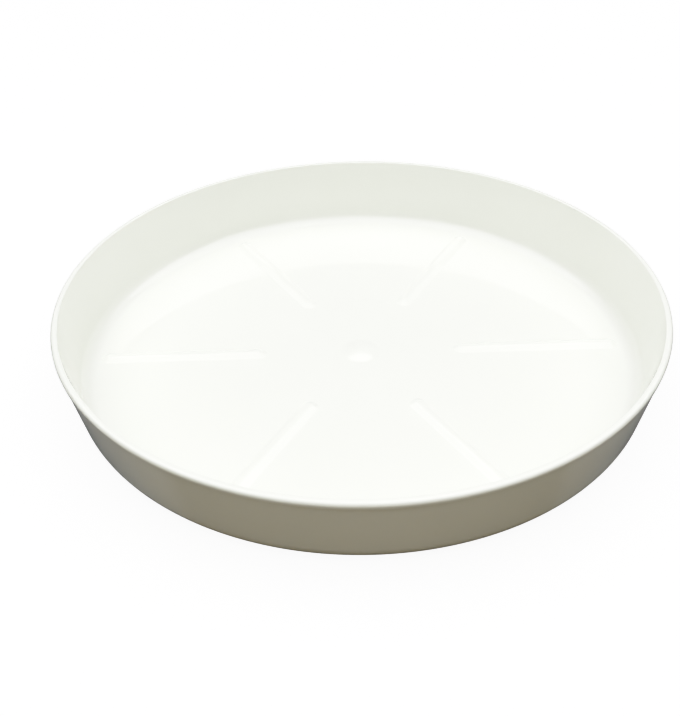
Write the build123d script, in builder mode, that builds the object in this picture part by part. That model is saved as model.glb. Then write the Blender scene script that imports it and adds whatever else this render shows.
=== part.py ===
"""Round plant saucer: a glossy white dish moulded in one piece, six low ribs for the pot and a boss at the centre.

Millimetres, +Z up, origin on the table under the centre of the saucer.
"""
import os
from math import cos, radians, tan

from build123d import *

os.makedirs("parts", exist_ok=True)

# Overall size
rim_diameter = 250.0
saucer_height = 34.0
wall_lean = 12.2

# Thickness of the moulding
wall_thickness = 2.6
floor_thickness = 2.5

# Lip round the top of the wall
lip_width = 2.6
lip_depth = 2.8
lip_round = 1.4

# Bend between wall and floor
foot_round = 8.8

# Underside: standing ring, and the well of the moulding gate at the centre
foot_recess = 1.8
foot_ring_width = 6.0
foot_ring_draft = 35.0
gate_well_diameter = 10.0
gate_well_depth = 1.0

# Six ribs that hold the pot above the water
rib_count = 6
rib_width = 7.0
rib_height = 1.3
rib_start_share = 0.36
rib_end_gap = 0.6
rib_draft = 62.0
rib_round = 3.0
rib_end_draft = 58.0
rib_end_round = 2.8

# Boss above the gate
boss_diameter = 17.0
boss_height = 1.2
boss_side_height = 0.8
boss_side_draft = 76.0
boss_crown_draft = 82.0

# Levels and radii that follow
rim_radius = rim_diameter / 2
floor_top = foot_recess + floor_thickness
wall_run = tan(radians(wall_lean))
wall_across = wall_thickness / cos(radians(wall_lean))
bend_share = tan(radians((90.0 - wall_lean) / 2))
lip_corner_radius = rim_radius + lip_round * (1 / bend_share - 1)
lip_inner_radius = rim_radius - lip_width
wall_top_radius = lip_inner_radius + wall_across
lip_step = lip_corner_radius - wall_top_radius
lip_bottom = saucer_height - lip_depth
lip_root = lip_bottom - lip_step
foot_radius = wall_top_radius - saucer_height * wall_run
foot_edge_radius = foot_radius - foot_round * bend_share
inner_round = foot_round - wall_thickness
inner_foot_radius = foot_radius + floor_top * wall_run - wall_across
floor_edge_radius = inner_foot_radius - inner_round * bend_share

# Dish: floor, bend, leaning wall and lip turned as one section, then the underside cut in
with BuildPart() as dish:
    with BuildSketch(Plane.XZ):
        with BuildLine():
            FilletPolyline(
                (0, 0),
                (foot_radius, 0),
                (foot_radius + lip_root * wall_run, lip_root),
                (lip_corner_radius - lip_depth * wall_run, lip_bottom),
                (lip_corner_radius, saucer_height),
                (lip_inner_radius, saucer_height),
                (inner_foot_radius, floor_top),
                (0, floor_top),
                radius=[0, foot_round, 0, 0, lip_round, 0, inner_round, 0],
                close=True,
            )
        make_face()
    revolve(axis=Axis.Z)
    with BuildSketch(Plane.XY):
        Circle(foot_edge_radius - foot_ring_width)
    extrude(amount=foot_recess, taper=foot_ring_draft, mode=Mode.SUBTRACT)
    with BuildSketch(Plane.XY.offset(foot_recess)):
        Circle(gate_well_diameter / 2)
    extrude(amount=gate_well_depth, mode=Mode.SUBTRACT)
dish.part.label = "dish"
export_step(dish.part, "parts/dish.step")

# Ribs: each is its side view, narrowed to its rounded cross-section, on the flat of the floor
rib_inner_end = rib_start_share * floor_edge_radius
rib_outer_end = floor_edge_radius - rib_end_gap
rib_length = rib_outer_end - rib_inner_end
for index in range(rib_count):
    bearing = index * 360.0 / rib_count
    along = Vector(1, 0, 0).rotate(Axis.Z, bearing)
    across = Vector(0, 1, 0).rotate(Axis.Z, bearing)
    with BuildPart() as rib:
        with BuildSketch(Plane((0, 0, floor_top), x_dir=along, z_dir=-across)) as side_view:
            with Locations((rib_inner_end + rib_length / 2, 0)):
                Trapezoid(rib_length, rib_height, 90.0 - rib_end_draft, align=(Align.CENTER, Align.MIN))
            fillet(side_view.vertices().group_by(Axis.Y)[-1], radius=rib_end_round)
        extrude(amount=rib_width / 2, both=True)
        with BuildSketch(Plane((0, 0, floor_top), x_dir=across, z_dir=along)) as cross_section:
            Trapezoid(rib_width, rib_height, 90.0 - rib_draft, align=(Align.CENTER, Align.MIN))
            fillet(cross_section.vertices().group_by(Axis.Y)[-1], radius=rib_round)
        extrude(amount=rib_outer_end, mode=Mode.INTERSECT)
    rib.part.label = f"pot_rib_{index + 1}"
    export_step(rib.part, f"parts/pot_rib_{index + 1}.step")

# Boss: low round dome in the middle of the floor, over the gate, sloping less towards its top
boss_radius = boss_diameter / 2
crown_radius = boss_radius - boss_side_height * tan(radians(boss_side_draft))
crown_height = boss_height - boss_side_height
top_radius = crown_radius - crown_height * tan(radians(boss_crown_draft))
with BuildPart() as boss:
    with BuildSketch(Plane.XZ):
        with BuildLine():
            Polyline(
                (0, floor_top),
                (boss_radius, floor_top),
                (crown_radius, floor_top + boss_side_height),
                (top_radius, floor_top + boss_height),
                (0, floor_top + boss_height),
                close=True,
            )
        make_face()
    revolve(axis=Axis.Z)
boss.part.label = "centre_boss"
export_step(boss.part, "parts/centre_boss.step")
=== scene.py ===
"""Looks of the plant saucer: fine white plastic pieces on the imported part, soft light and the camera."""
import math

import bpy
from mathutils import Matrix, Vector


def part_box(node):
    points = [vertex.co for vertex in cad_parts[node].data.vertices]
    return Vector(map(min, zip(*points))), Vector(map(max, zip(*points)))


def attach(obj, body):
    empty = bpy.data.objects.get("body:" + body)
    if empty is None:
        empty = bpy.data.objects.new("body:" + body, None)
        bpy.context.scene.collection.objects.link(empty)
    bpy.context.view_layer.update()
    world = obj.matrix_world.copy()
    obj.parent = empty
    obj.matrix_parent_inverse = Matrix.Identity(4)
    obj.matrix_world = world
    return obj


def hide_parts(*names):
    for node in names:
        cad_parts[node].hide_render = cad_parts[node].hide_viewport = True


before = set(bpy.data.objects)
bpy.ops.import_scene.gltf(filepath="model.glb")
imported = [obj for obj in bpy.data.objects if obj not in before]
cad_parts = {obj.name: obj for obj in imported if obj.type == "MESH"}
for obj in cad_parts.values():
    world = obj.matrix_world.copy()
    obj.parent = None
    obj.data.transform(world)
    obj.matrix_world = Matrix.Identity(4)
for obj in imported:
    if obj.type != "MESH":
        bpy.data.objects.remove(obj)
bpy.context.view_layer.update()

MM = 0.001

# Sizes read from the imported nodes
_, dish_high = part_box("dish")
rib_low, rib_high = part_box("pot_rib_1")
boss_low, boss_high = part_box("centre_boss")
RIM_RADIUS = dish_high.x
HEIGHT = dish_high.z
FLOOR_TOP = rib_low.z
RIB_HEIGHT = rib_high.z - rib_low.z
RIB_WIDTH = rib_high.y - rib_low.y
RIB_START = rib_low.x
RIB_END = rib_high.x
BOSS_RADIUS = boss_high.x
BOSS_HEIGHT = boss_high.z - boss_low.z
RIB_NODES = sorted(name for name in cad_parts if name.startswith("pot_rib_"))

# Sizes of the dish's section
WALL_LEAN = math.radians(12.2)
WALL = 2.6 * MM
LIP_WIDTH = 2.6 * MM
LIP_DEPTH = 2.8 * MM
LIP_OUTER_ROUND = 1.4 * MM
LIP_INNER_ROUND = 0.35 * MM
LIP_UNDER_ROUND = 0.3 * MM
FOOT_ROUND = 8.8 * MM
RING_RECESS = 1.8 * MM
RING_WIDTH = 6.0 * MM
RING_SLOPE = RING_RECESS * math.tan(math.radians(35.0))
RING_EDGE_ROUND = 0.3 * MM
GATE_WELL_RADIUS = 5.0 * MM
GATE_WELL_DEPTH = 1.0 * MM
GATE_ROUND = 0.25 * MM

# Sections of ribs and boss, which reach a hair into the floor so that no gap shows
RIB_SLOPE = math.radians(28.0)
RIB_TOP_ROUND = 3.0 * MM
RIB_ROOT_ROUND = 2.0 * MM
BOSS_ROOT_POWER = 1.5
SEAT_DEPTH = 0.03 * MM

# Fineness of the meshes
TURN_STEPS = 288
ARC_STEPS = 12
RUN_STEPS = 8
LONGEST_RUN = 1.5 * MM
RIB_SIDE_STEPS = 16
RIB_END_STEPS = 24
SHARP_EDGE = math.radians(35.0)

# White plastic: two tones, gloss and skin, and the part of the noise that is spread between their limits
PLASTIC_IOR = 1.57
DEEPER_WHITE = (0.862, 0.88, 0.806, 1.0)
PALER_WHITE = (0.882, 0.9, 0.828, 1.0)
LEAST_ROUGHNESS = 0.03
MOST_ROUGHNESS = 0.06
SKIN_STRENGTH = 0.05
SKIN_DEPTH = 0.2 * MM
NOISE_LOW = 0.3
NOISE_HIGH = 0.7

# Stage, in metres, with its sheets just under the saucer
STAGE_REACH = 4.0
FLOOR_LEVEL = -0.1 * MM
FLOOR_COLOUR = (0.15, 0.15, 0.15)
FLOOR_GLOW = 1.3
TABLE_LEVEL = -0.3 * MM
TABLE_COLOUR = (0.165, 0.168, 0.173)
CARD_LEVEL = -0.2 * MM
CARD_COLOUR = (0.2, 0.148, 0.06)
CARD_HALF_WIDTH = 0.22
CARD_FRONT = -0.24
CARD_BACK = -0.1

# Lights: height of those overhead, in metres, colour of the one in front, and the dim room
LIGHT_HEIGHT = 1.1
WARM_WHITE = (1.0, 0.98, 0.94)
ROOM_GREY = (0.03, 0.03, 0.03, 1.0)

# Camera fitted to the outlines of rim and foot in the 680 x 716 photograph
IMAGE_HEIGHT_PX = 716
FOCAL_PX = 1050.0
SENSOR_MM = 36.0
VIEW_DISTANCE = 3.622 * RIM_RADIUS
VIEW_ELEVATION = math.radians(36.05)
VIEW_BEARING = math.radians(-2.06)
VIEW_YAW = math.radians(1.10)
VIEW_PITCH = math.radians(0.06)
VIEW_ROLL = math.radians(0.49)

# Tone curve: the light that comes out white, and points of light in the scene and linear tone in the picture
TONE_WHITE = 1.52
TONES = ((0.25, 0.245), (0.94, 0.807), (1.34, 0.955))


def rounded(corners):
    """Points of a line through corners (x, z, radius), each corner with a radius turned into an arc."""
    places = [Vector((x, z)) for x, z, _ in corners]
    line = [places[0]]
    for before, corner, after, (_, _, radius) in zip(places, places[1:], places[2:], corners[1:]):
        back = (before - corner).normalized()
        ahead = (after - corner).normalized()
        half = back.angle(ahead) / 2
        reach = radius / math.tan(half)
        centre = corner + (back + ahead).normalized() * radius / math.sin(half)
        first = corner + back * reach - centre
        last = corner + ahead * reach - centre
        for step in range(ARC_STEPS + 1):
            line.append(centre + first.slerp(last, step / ARC_STEPS).normalized() * radius)
    return line + [places[-1]]


def with_runs(line):
    """The line with each long straight run divided, closer together towards its ends."""
    result = [line[0]]
    for start, end in zip(line, line[1:]):
        steps = RUN_STEPS if (end - start).length > LONGEST_RUN else 1
        for step in range(1, steps + 1):
            result.append(start.lerp(end, (1 - math.cos(math.pi * step / steps)) / 2))
    return result


def make_piece(name, vertices, faces, material):
    """A smooth-shaded mesh object that rides on the saucer's one body."""
    mesh = bpy.data.meshes.new(name)
    mesh.from_pydata(vertices, [], faces)
    mesh.validate()
    mesh.polygons.foreach_set("use_smooth", [True] * len(mesh.polygons))
    mesh.set_sharp_from_angle(angle=SHARP_EDGE)
    mesh.materials.append(material)
    piece = bpy.data.objects.new(name, mesh)
    bpy.context.scene.collection.objects.link(piece)
    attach(piece, "root")
    return piece


def turned(name, line, material):
    """A closed piece turned about the Z axis from a line of (radius, height) between two points on it."""
    vertices = [(0.0, 0.0, line[0].y), (0.0, 0.0, line[-1].y)]
    first = len(vertices)
    rings = line[1:-1]
    for ring in rings:
        for step in range(TURN_STEPS):
            angle = 2 * math.pi * step / TURN_STEPS
            vertices.append((ring.x * math.cos(angle), ring.x * math.sin(angle), ring.y))
    faces = []
    last = first + (len(rings) - 1) * TURN_STEPS
    for step in range(TURN_STEPS):
        after = (step + 1) % TURN_STEPS
        faces.append((0, first + after, first + step))
        faces.append((1, last + step, last + after))
        for ring in range(first, last, TURN_STEPS):
            following = ring + TURN_STEPS
            faces.append((ring + step, ring + after, following + after, following + step))
    return make_piece(name, vertices, faces, material)


def dish_line():
    """Section of the dish from the axis underneath, round foot, wall and lip, to the axis on the floor."""
    run = math.tan(WALL_LEAN)
    across = WALL / math.cos(WALL_LEAN)
    bend_share = math.tan((math.pi / 2 - WALL_LEAN) / 2)
    lip_corner = RIM_RADIUS + LIP_OUTER_ROUND * (1 / bend_share - 1)
    lip_inner = RIM_RADIUS - LIP_WIDTH
    wall_top = lip_inner + across
    foot = wall_top - HEIGHT * run
    foot_edge = foot - FOOT_ROUND * bend_share
    ring = foot_edge - RING_WIDTH
    lip_bottom = HEIGHT - LIP_DEPTH
    lip_root = lip_bottom - (lip_corner - wall_top)
    inner_foot = foot + FLOOR_TOP * run - across
    well_top = RING_RECESS + GATE_WELL_DEPTH
    corners = [
        (0, well_top, 0),
        (GATE_WELL_RADIUS, well_top, GATE_ROUND),
        (GATE_WELL_RADIUS, RING_RECESS, GATE_ROUND),
        (ring - RING_SLOPE, RING_RECESS, RING_EDGE_ROUND),
        (ring, 0, RING_EDGE_ROUND),
        (foot, 0, FOOT_ROUND),
        (foot + lip_root * run, lip_root, LIP_UNDER_ROUND),
        (lip_corner - LIP_DEPTH * run, lip_bottom, LIP_UNDER_ROUND),
        (lip_corner, HEIGHT, LIP_OUTER_ROUND),
        (lip_inner, HEIGHT, LIP_INNER_ROUND),
        (inner_foot, FLOOR_TOP, FOOT_ROUND - WALL),
        (0, FLOOR_TOP, 0),
    ]
    return with_runs(rounded(corners))


def add_dish(material):
    """The dish: floor, bend, leaning wall and lip, with the standing ring and the gate well underneath."""
    piece = turned("dish_piece", dish_line(), material)
    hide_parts("dish")


def rib_section():
    """Half section of a rib as (reach, height) from the edge of its flat top down its side to its seat."""
    half_width = RIB_WIDTH / 2
    corners = [
        (0, RIB_HEIGHT, 0),
        (half_width - RIB_HEIGHT / math.tan(RIB_SLOPE), RIB_HEIGHT, RIB_TOP_ROUND),
        (half_width, 0, RIB_ROOT_ROUND),
        (half_width + RIB_ROOT_ROUND, 0, 0),
    ]
    section = [(point.x, point.y) for point in rounded(corners)[1:-1]]
    root_edge, _ = section[-1]
    return section + [(root_edge, -SEAT_DEPTH)]


def rib_stations():
    """Stations round a rib: the place of each along the rib's middle line, and its direction out from it."""
    inner = RIB_START + RIB_WIDTH / 2
    outer = RIB_END - RIB_WIDTH / 2
    stations = []
    for start, end, side in ((inner, outer, -math.pi / 2), (outer, inner, math.pi / 2)):
        for step in range(RIB_SIDE_STEPS):
            stations.append((start + (end - start) * step / RIB_SIDE_STEPS, side))
        for step in range(RIB_END_STEPS):
            stations.append((end, side + math.pi * step / RIB_END_STEPS))
    return stations


def add_rib(node, bearing, material):
    """One rib: its section carried round a long slot-shaped outline, flat on top, with a soft root."""
    section = rib_section()
    stations = rib_stations()
    vertices = []
    for reach, height in section:
        for base, direction in stations:
            x = base + reach * math.cos(direction)
            y = reach * math.sin(direction)
            vertices.append((
                x * math.cos(bearing) - y * math.sin(bearing),
                x * math.sin(bearing) + y * math.cos(bearing),
                FLOOR_TOP + height,
            ))
    count = len(stations)
    seat = (len(section) - 1) * count
    faces = [tuple(range(count)), tuple(reversed(range(seat, seat + count)))]
    for high in range(0, seat, count):
        low = high + count
        for step in range(count):
            after = (step + 1) % count
            faces.append((low + step, low + after, high + after, high + step))
    piece = make_piece(f"{node}_piece", vertices, faces, material)
    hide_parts(node)


def add_boss(material):
    """The low boss in the middle of the floor, a dome with a soft root."""
    seat = FLOOR_TOP - SEAT_DEPTH
    line = [Vector((0, seat)), Vector((BOSS_RADIUS, seat))]
    for step in range(ARC_STEPS + 1):
        share = 1 - step / ARC_STEPS
        height = BOSS_HEIGHT * (1 - share ** 2) ** BOSS_ROOT_POWER
        line.append(Vector((BOSS_RADIUS * share, FLOOR_TOP + height)))
    piece = turned("centre_boss_piece", line, material)
    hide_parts("centre_boss")


def add_noise(tree, place, scale, detail):
    """Noise in the piece's own coordinates, finer the larger its scale is."""
    noise = tree.nodes.new("ShaderNodeTexNoise")
    noise.inputs["Scale"].default_value = scale
    noise.inputs["Detail"].default_value = detail
    tree.links.new(place.outputs["Object"], noise.inputs["Vector"])
    return noise.outputs["Fac"]


def white_plastic():
    """Glossy white moulded plastic: faint drift of tone, a slightly uneven gloss and a fine skin."""
    material = bpy.data.materials.new("glossy_white_plastic")
    material.use_nodes = True
    tree = material.node_tree
    shader = tree.nodes["Principled BSDF"]
    shader.inputs["IOR"].default_value = PLASTIC_IOR
    place = tree.nodes.new("ShaderNodeTexCoord")

    drift = add_noise(tree, place, scale=14.0, detail=3.0)
    tone = tree.nodes.new("ShaderNodeValToRGB")
    deeper, paler = tone.color_ramp.elements
    deeper.position = NOISE_LOW
    deeper.color = DEEPER_WHITE
    paler.position = NOISE_HIGH
    paler.color = PALER_WHITE
    tree.links.new(drift, tone.inputs["Fac"])
    tree.links.new(tone.outputs["Color"], shader.inputs["Base Color"])

    gloss = add_noise(tree, place, scale=60.0, detail=4.0)
    rough = tree.nodes.new("ShaderNodeMapRange")
    rough.inputs["From Min"].default_value = NOISE_LOW
    rough.inputs["From Max"].default_value = NOISE_HIGH
    rough.inputs["To Min"].default_value = LEAST_ROUGHNESS
    rough.inputs["To Max"].default_value = MOST_ROUGHNESS
    tree.links.new(gloss, rough.inputs["Value"])
    tree.links.new(rough.outputs["Result"], shader.inputs["Roughness"])

    skin = add_noise(tree, place, scale=420.0, detail=2.0)
    bump = tree.nodes.new("ShaderNodeBump")
    bump.inputs["Strength"].default_value = SKIN_STRENGTH
    bump.inputs["Distance"].default_value = SKIN_DEPTH
    tree.links.new(skin, bump.inputs["Height"])
    tree.links.new(bump.outputs["Normal"], shader.inputs["Normal"])
    return material


def sheet(name, vertices, faces, material):
    """A stage surface, which isn't part of the saucer."""
    mesh = bpy.data.meshes.new(name)
    mesh.from_pydata(vertices, [], faces)
    mesh.materials.append(material)
    surface = bpy.data.objects.new(name, mesh)
    bpy.context.scene.collection.objects.link(surface)
    return surface


def matt(name, colour, glow):
    """Plain matt surface, lifted by a glow of its own where the shadow on it is to stay faint."""
    material = bpy.data.materials.new(name)
    material.use_nodes = True
    shader = material.node_tree.nodes["Principled BSDF"]
    shader.inputs["Base Color"].default_value = (*colour, 1.0)
    shader.inputs["Roughness"].default_value = 1.0
    shader.inputs["Specular IOR Level"].default_value = 0.0
    shader.inputs["Emission Color"].default_value = (1.0, 1.0, 1.0, 1.0)
    shader.inputs["Emission Strength"].default_value = glow
    return material


def rectangle(left, right, front, back, height):
    """Corners of a level rectangle."""
    return [(left, front, height), (right, front, height), (right, back, height), (left, back, height)]


def add_stage():
    """Pale floor and backdrop for the camera, with a grey table and a warm card under them.

    The camera doesn't see table and card, which light the outside of the wall from below.
    """
    one_face = [(0, 1, 2, 3)]
    square = (-STAGE_REACH, STAGE_REACH, -STAGE_REACH, STAGE_REACH)
    pale = matt("pale_floor", FLOOR_COLOUR, FLOOR_GLOW)
    floor = sheet("floor", rectangle(*square, FLOOR_LEVEL), one_face, pale)
    low = rectangle(*square, 0.0)
    high = rectangle(*square, STAGE_REACH)
    count = len(low)
    sides = []
    for corner in range(count):
        after = (corner + 1) % count
        sides.append((corner, after, count + after, count + corner))
    backdrop = sheet("backdrop", low + high, sides, pale)
    for surface in (floor, backdrop):
        surface.visible_diffuse = False
        surface.visible_glossy = False
        surface.visible_shadow = False

    grey = matt("grey_table", TABLE_COLOUR, 0.0)
    table = sheet("table_top", rectangle(*square, TABLE_LEVEL), one_face, grey)
    warm = matt("warm_card", CARD_COLOUR, 0.0)
    card_corners = rectangle(-CARD_HALF_WIDTH, CARD_HALF_WIDTH, CARD_FRONT, CARD_BACK, CARD_LEVEL)
    card = sheet("front_card", card_corners, one_face, warm)
    for surface in (table, card):
        surface.visible_camera = False
    card.visible_glossy = False


def add_lamp(name, size, watts, place, tilt=0.0, colour=(1.0, 1.0, 1.0)):
    """A soft rectangular light, which shines straight down without a tilt."""
    data = bpy.data.lights.new(name, "AREA")
    data.shape = "RECTANGLE"
    data.size, data.size_y = size
    data.energy = watts
    data.color = colour
    lamp = bpy.data.objects.new(name, data)
    lamp.location = place
    lamp.rotation_euler.x = tilt
    bpy.context.scene.collection.objects.link(lamp)


def add_lights():
    """A wide soft light overhead, two small ones behind its back corners and a weak one low in front."""
    add_lamp("overhead", size=(2.5, 1.7), watts=39.9, place=(0.0, 0.05, LIGHT_HEIGHT))
    add_lamp("back_left", size=(0.7, 0.25), watts=1.0, place=(-0.95, 1.03, LIGHT_HEIGHT))
    add_lamp("back_right", size=(0.7, 0.25), watts=0.9, place=(1.05, 1.08, LIGHT_HEIGHT))
    add_lamp(
        "front_fill",
        size=(1.2, 0.4),
        watts=2.3,
        place=(-0.1, -1.3, 0.12),
        tilt=math.pi / 2,
        colour=WARM_WHITE,
    )


def add_room():
    """The dim room round the stage."""
    world = bpy.data.worlds.new("room")
    world.use_nodes = True
    world.node_tree.nodes["Background"].inputs["Color"].default_value = ROOM_GREY
    bpy.context.scene.world = world


def add_camera():
    """Camera where the photographer stood, from the fit to the photograph."""
    data = bpy.data.cameras.new("camera")
    data.sensor_width = SENSOR_MM
    data.lens = FOCAL_PX * SENSOR_MM / IMAGE_HEIGHT_PX
    camera = bpy.data.objects.new("camera", data)
    stand = Vector((0, -VIEW_DISTANCE * math.cos(VIEW_ELEVATION), VIEW_DISTANCE * math.sin(VIEW_ELEVATION)))
    camera.matrix_world = (
        Matrix.Rotation(VIEW_BEARING, 4, "Z")
        @ Matrix.Translation(stand)
        @ Matrix.Rotation(math.pi / 2 - VIEW_ELEVATION, 4, "X")
        @ Matrix.Rotation(VIEW_YAW, 4, "Y")
        @ Matrix.Rotation(VIEW_PITCH, 4, "X")
        @ Matrix.Rotation(-VIEW_ROLL, 4, "Z")
    )
    bpy.context.scene.collection.objects.link(camera)
    bpy.context.scene.camera = camera


def set_tones():
    """Tone curve of a bright product picture: straight in the shade, flattened over the lit white."""
    view = bpy.context.scene.view_settings
    view.view_transform = "Standard"
    view.use_curve_mapping = True
    mapping = view.curve_mapping
    mapping.white_level = (TONE_WHITE, TONE_WHITE, TONE_WHITE)
    _, _, _, combined = mapping.curves
    for light, tone in TONES:
        combined.points.new(light / TONE_WHITE, tone)
    mapping.update()


plastic = white_plastic()
add_dish(plastic)
for index, node in enumerate(RIB_NODES):
    add_rib(node, 2 * math.pi * index / len(RIB_NODES), plastic)
add_boss(plastic)
add_stage()
add_lights()
add_room()
add_camera()
set_tones()
